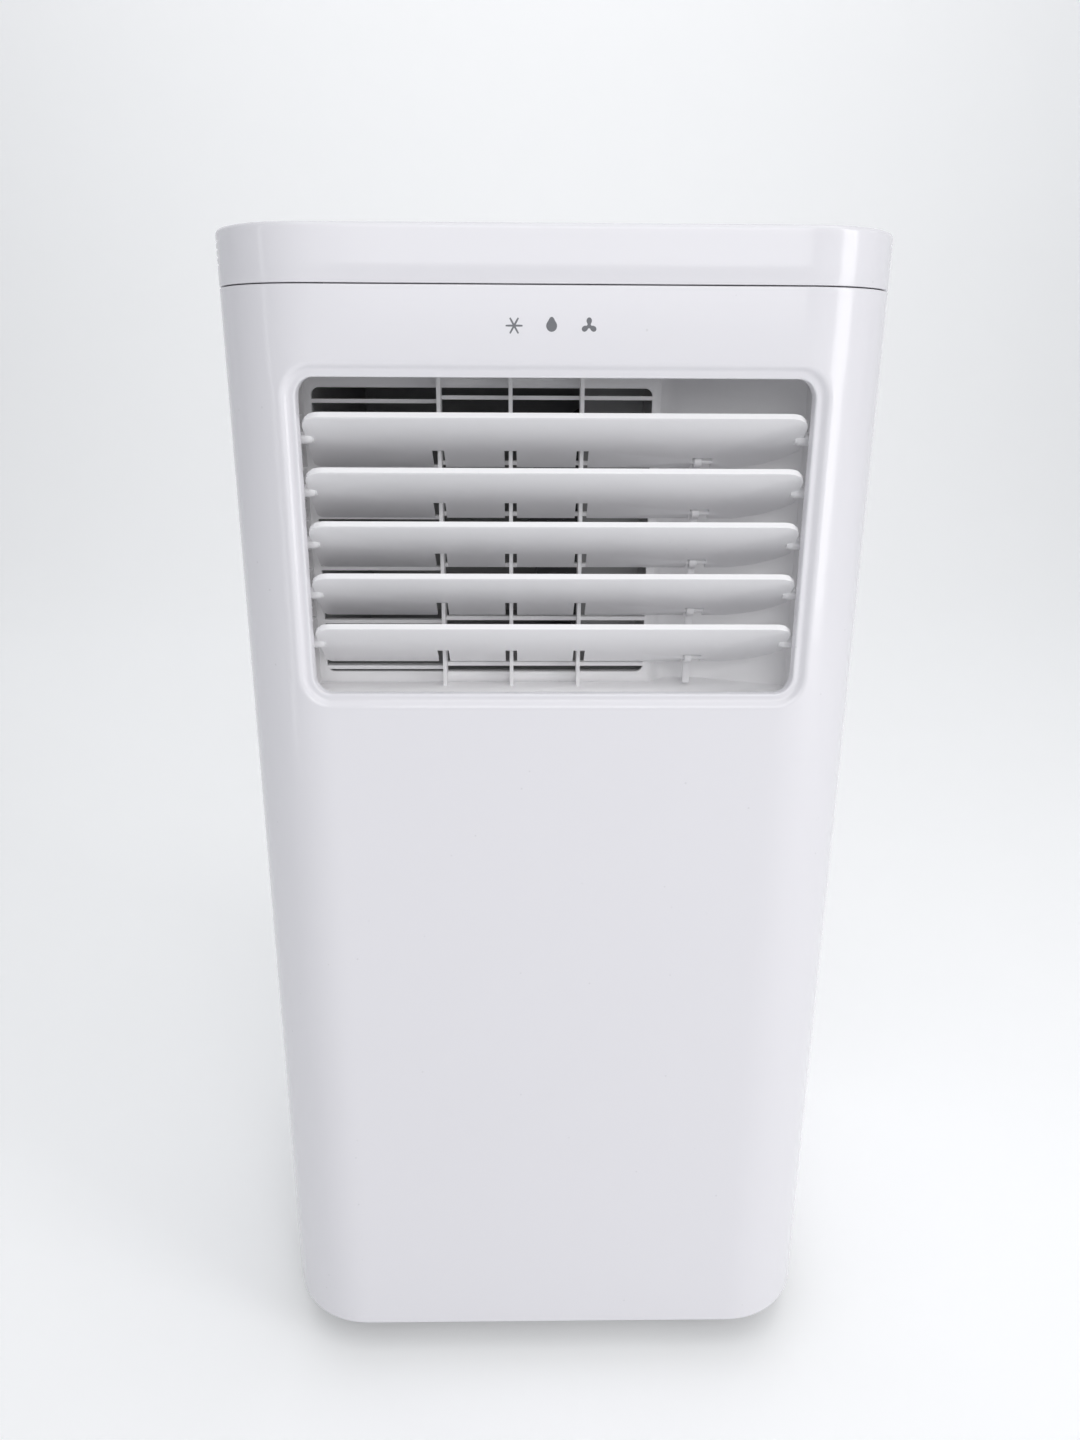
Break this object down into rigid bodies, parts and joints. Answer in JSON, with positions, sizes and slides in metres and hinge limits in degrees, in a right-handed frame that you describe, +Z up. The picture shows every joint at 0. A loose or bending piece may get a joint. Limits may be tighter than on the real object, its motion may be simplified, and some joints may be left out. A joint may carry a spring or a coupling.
{
  "type": "portable air conditioner",
  "caption": "Floor-standing room air conditioner on swivel casters with a louvred front outlet, top controls, rear filter cassette and rear exhaust hose socket.",
  "frame": {"origin": "on the floor under the centre of the housing", "axes": "+Z up, the louvred front faces -Y, +X to the right seen from the front"},
  "size_m": [0.34, 0.31, 0.685],
  "materials": {
    "shell_white": "glossy white moulded plastic",
    "louvre_white": "white plastic, light satin gloss",
    "inner_plastic": "unpainted light grey plastic",
    "panel_grey": "glossy pale grey fascia",
    "button_grey": "satin keys",
    "display_black": "smoked display window",
    "mark_grey": "printed mark",
    "fan_black": "black fan plastic",
    "motor_steel": "zinc coated motor can",
    "coil_metal": "thin fins, mill finish",
    "copper": "drawn copper tube",
    "compressor_black": "black enamel",
    "rubber_dark": "soft rubber",
    "box_steel": "galvanised sheet",
    "board_green": "circuit board",
    "tube_clear": "translucent hose",
    "mesh_dark": "woven filter mesh",
    "screw_steel": "plated steel",
    "caster_grey": "nylon caster body",
    "tyre_black": "caster tyre"
  },
  "bodies": {
    "housing": {"base_pan": "inner_plastic", "front_panel": "shell_white", "rear_shell": "shell_white", "top_cover": "shell_white", "grip_left": "shell_white", "grip_right": "shell_white", "control_panel": "panel_grey", "display_window": "display_black", "front_mark": "mark_grey", "outlet_liner": "louvre_white", "outlet_grille": "louvre_white", "blower_cover": "inner_plastic", "blower_scroll": "inner_plastic", "blower_motor": "motor_steel", "evaporator": "coil_metal", "drip_tray": "inner_plastic", "condenser": "coil_metal", "condenser_scroll": "inner_plastic", "condenser_motor": "motor_steel", "exhaust_duct": "inner_plastic", "exhaust_collar": "shell_white", "compressor": "compressor_black", "accumulator": "compressor_black", "compressor_grommets": "rubber_dark", "suction_line": "copper", "discharge_line": "copper", "liquid_line": "copper", "filter_drier": "copper", "electric_box": "box_steel", "control_board": "board_green", "run_capacitor": "box_steel", "drain_tube": "tube_clear", "cord_grommet": "rubber_dark", "case_screws": "screw_steel"},
    "louvre_1": {"louvre_1": "louvre_white"},
    "louvre_2": {"louvre_2": "louvre_white"},
    "louvre_3": {"louvre_3": "louvre_white"},
    "louvre_4": {"louvre_4": "louvre_white"},
    "louvre_5": {"louvre_5": "louvre_white"},
    "tie_bar": {"tie_bar": "louvre_white"},
    "button_power": {"button_power": "button_grey"},
    "button_mode": {"button_mode": "button_grey"},
    "button_speed": {"button_speed": "button_grey"},
    "button_timer": {"button_timer": "button_grey"},
    "button_up": {"button_up": "button_grey"},
    "button_down": {"button_down": "button_grey"},
    "blower_wheel": {"blower_wheel": "fan_black"},
    "condenser_wheel": {"condenser_wheel": "fan_black"},
    "filter_cassette": {"filter_frame": "shell_white", "filter_mesh": "mesh_dark"},
    "drain_plug_upper": {"drain_plug_upper": "rubber_dark"},
    "drain_plug_lower": {"drain_plug_lower": "rubber_dark"},
    "caster_fork_fl": {"caster_fork_fl": "caster_grey"},
    "caster_wheels_fl": {"caster_wheels_fl": "tyre_black"},
    "caster_fork_fr": {"caster_fork_fr": "caster_grey"},
    "caster_wheels_fr": {"caster_wheels_fr": "tyre_black"},
    "caster_fork_rl": {"caster_fork_rl": "caster_grey"},
    "caster_wheels_rl": {"caster_wheels_rl": "tyre_black"},
    "caster_fork_rr": {"caster_fork_rr": "caster_grey"},
    "caster_wheels_rr": {"caster_wheels_rr": "tyre_black"}
  },
  "joints": [
    {"name": "louvre_1_tilt", "type": "hinge", "parent": "housing", "child": "louvre_1", "pos_m": [0, -0.135, 0.5874], "axis": [1, 0, 0], "range_deg": [0, 115]},
    {"name": "louvre_2_tilt", "type": "hinge", "parent": "housing", "child": "louvre_2", "pos_m": [0, -0.135, 0.56085], "axis": [1, 0, 0], "range_deg": [0, 115]},
    {"name": "louvre_3_tilt", "type": "hinge", "parent": "housing", "child": "louvre_3", "pos_m": [0, -0.135, 0.5343], "axis": [1, 0, 0], "range_deg": [0, 115]},
    {"name": "louvre_4_tilt", "type": "hinge", "parent": "housing", "child": "louvre_4", "pos_m": [0, -0.135, 0.50775], "axis": [1, 0, 0], "range_deg": [0, 115]},
    {"name": "louvre_5_tilt", "type": "hinge", "parent": "housing", "child": "louvre_5", "pos_m": [0, -0.135, 0.4812], "axis": [1, 0, 0], "range_deg": [0, 115]},
    {"name": "tie_bar_pivot", "type": "hinge", "parent": "louvre_1", "child": "tie_bar", "pos_m": [0.0755, -0.11924, 0.57509], "axis": [1, 0, 0], "range_deg": [-115, 0]},
    {"name": "press_power", "type": "slide", "parent": "housing", "child": "button_power", "axis": [0, 0, -1], "range_m": [0, 0.0012], "stiffness_N_per_m": 400, "springref_m": -0.0004},
    {"name": "press_mode", "type": "slide", "parent": "housing", "child": "button_mode", "axis": [0, 0, -1], "range_m": [0, 0.0012], "stiffness_N_per_m": 400, "springref_m": -0.0004},
    {"name": "press_speed", "type": "slide", "parent": "housing", "child": "button_speed", "axis": [0, 0, -1], "range_m": [0, 0.0012], "stiffness_N_per_m": 400, "springref_m": -0.0004},
    {"name": "press_timer", "type": "slide", "parent": "housing", "child": "button_timer", "axis": [0, 0, -1], "range_m": [0, 0.0012], "stiffness_N_per_m": 400, "springref_m": -0.0004},
    {"name": "press_down", "type": "slide", "parent": "housing", "child": "button_down", "axis": [0, 0, -1], "range_m": [0, 0.0012], "stiffness_N_per_m": 400, "springref_m": -0.0004},
    {"name": "press_up", "type": "slide", "parent": "housing", "child": "button_up", "axis": [0, 0, -1], "range_m": [0, 0.0012], "stiffness_N_per_m": 400, "springref_m": -0.0004},
    {"name": "blower_spin", "type": "hinge", "parent": "housing", "child": "blower_wheel", "pos_m": [0.0635, 0, 0.5307], "axis": [0, 1, 0], "continuous": true},
    {"name": "condenser_fan_spin", "type": "hinge", "parent": "housing", "child": "condenser_wheel", "pos_m": [0.0325, 0.045, 0.158], "axis": [0, 1, 0], "continuous": true},
    {"name": "filter_pull", "type": "slide", "parent": "housing", "child": "filter_cassette", "axis": [0, 1, 0], "range_m": [0, 0.06]},
    {"name": "upper_drain_pull", "type": "slide", "parent": "housing", "child": "drain_plug_upper", "axis": [0, 1, 0], "range_m": [0, 0.02]},
    {"name": "lower_drain_pull", "type": "slide", "parent": "housing", "child": "drain_plug_lower", "axis": [0, 1, 0], "range_m": [0, 0.02]},
    {"name": "swivel_fl", "type": "hinge", "parent": "housing", "child": "caster_fork_fl", "pos_m": [-0.122, -0.107, 0.035], "axis": [0, 0, 1], "continuous": true},
    {"name": "roll_fl", "type": "hinge", "parent": "caster_fork_fl", "child": "caster_wheels_fl", "pos_m": [-0.122, -0.099, 0.015], "axis": [1, 0, 0], "continuous": true},
    {"name": "swivel_fr", "type": "hinge", "parent": "housing", "child": "caster_fork_fr", "pos_m": [0.122, -0.107, 0.035], "axis": [0, 0, 1], "continuous": true},
    {"name": "roll_fr", "type": "hinge", "parent": "caster_fork_fr", "child": "caster_wheels_fr", "pos_m": [0.122, -0.099, 0.015], "axis": [1, 0, 0], "continuous": true},
    {"name": "swivel_rl", "type": "hinge", "parent": "housing", "child": "caster_fork_rl", "pos_m": [-0.122, 0.107, 0.035], "axis": [0, 0, 1], "continuous": true},
    {"name": "roll_rl", "type": "hinge", "parent": "caster_fork_rl", "child": "caster_wheels_rl", "pos_m": [-0.122, 0.115, 0.015], "axis": [1, 0, 0], "continuous": true},
    {"name": "swivel_rr", "type": "hinge", "parent": "housing", "child": "caster_fork_rr", "pos_m": [0.122, 0.107, 0.035], "axis": [0, 0, 1], "continuous": true},
    {"name": "roll_rr", "type": "hinge", "parent": "caster_fork_rr", "child": "caster_wheels_rr", "pos_m": [0.122, 0.115, 0.015], "axis": [1, 0, 0], "continuous": true}
  ],
  "couplings": [
    {"joint": "louvre_2_tilt", "follows": "louvre_1_tilt", "ratio": 1},
    {"joint": "louvre_3_tilt", "follows": "louvre_1_tilt", "ratio": 1},
    {"joint": "louvre_4_tilt", "follows": "louvre_1_tilt", "ratio": 1},
    {"joint": "louvre_5_tilt", "follows": "louvre_1_tilt", "ratio": 1},
    {"joint": "tie_bar_pivot", "follows": "louvre_1_tilt", "ratio": -1}
  ]
}
